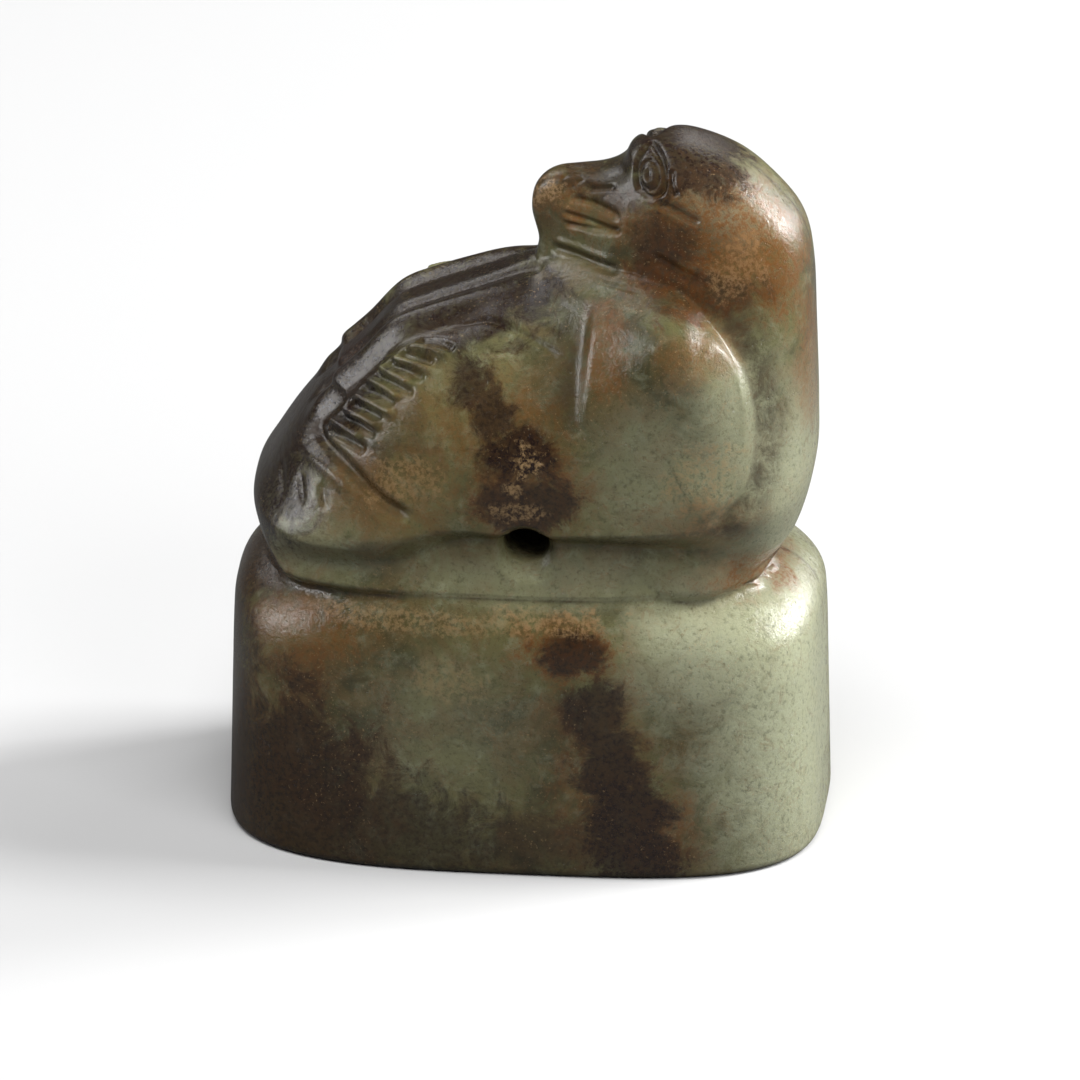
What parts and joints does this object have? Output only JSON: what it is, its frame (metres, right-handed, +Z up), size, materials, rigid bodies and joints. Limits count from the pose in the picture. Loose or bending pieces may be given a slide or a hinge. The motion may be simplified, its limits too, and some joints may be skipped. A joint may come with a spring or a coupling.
{
  "type": "seal stamp",
  "caption": "Small jade seal stamp: a rounded rectangular block with a resting bird carved on top, its head turned back over the spine, and a cord hole drilled across it.",
  "frame": {"origin": "centre of the seal face, on which the seal stands", "axes": "+Z up from the seal face to the bird's crown, +X towards the bird's breast, +Y across the seal, square to the plane that its two sides mirror in"},
  "size_m": [0.0342, 0.022, 0.0421],
  "materials": {
    "nephrite": "polished nephrite, pale celadon to olive green, with russet-brown skin on the head, dark brown spine and tail edge and dark brown veins"
  },
  "bodies": {
    "root": {"jade_seal": "nephrite"}
  },
  "joints": []
}
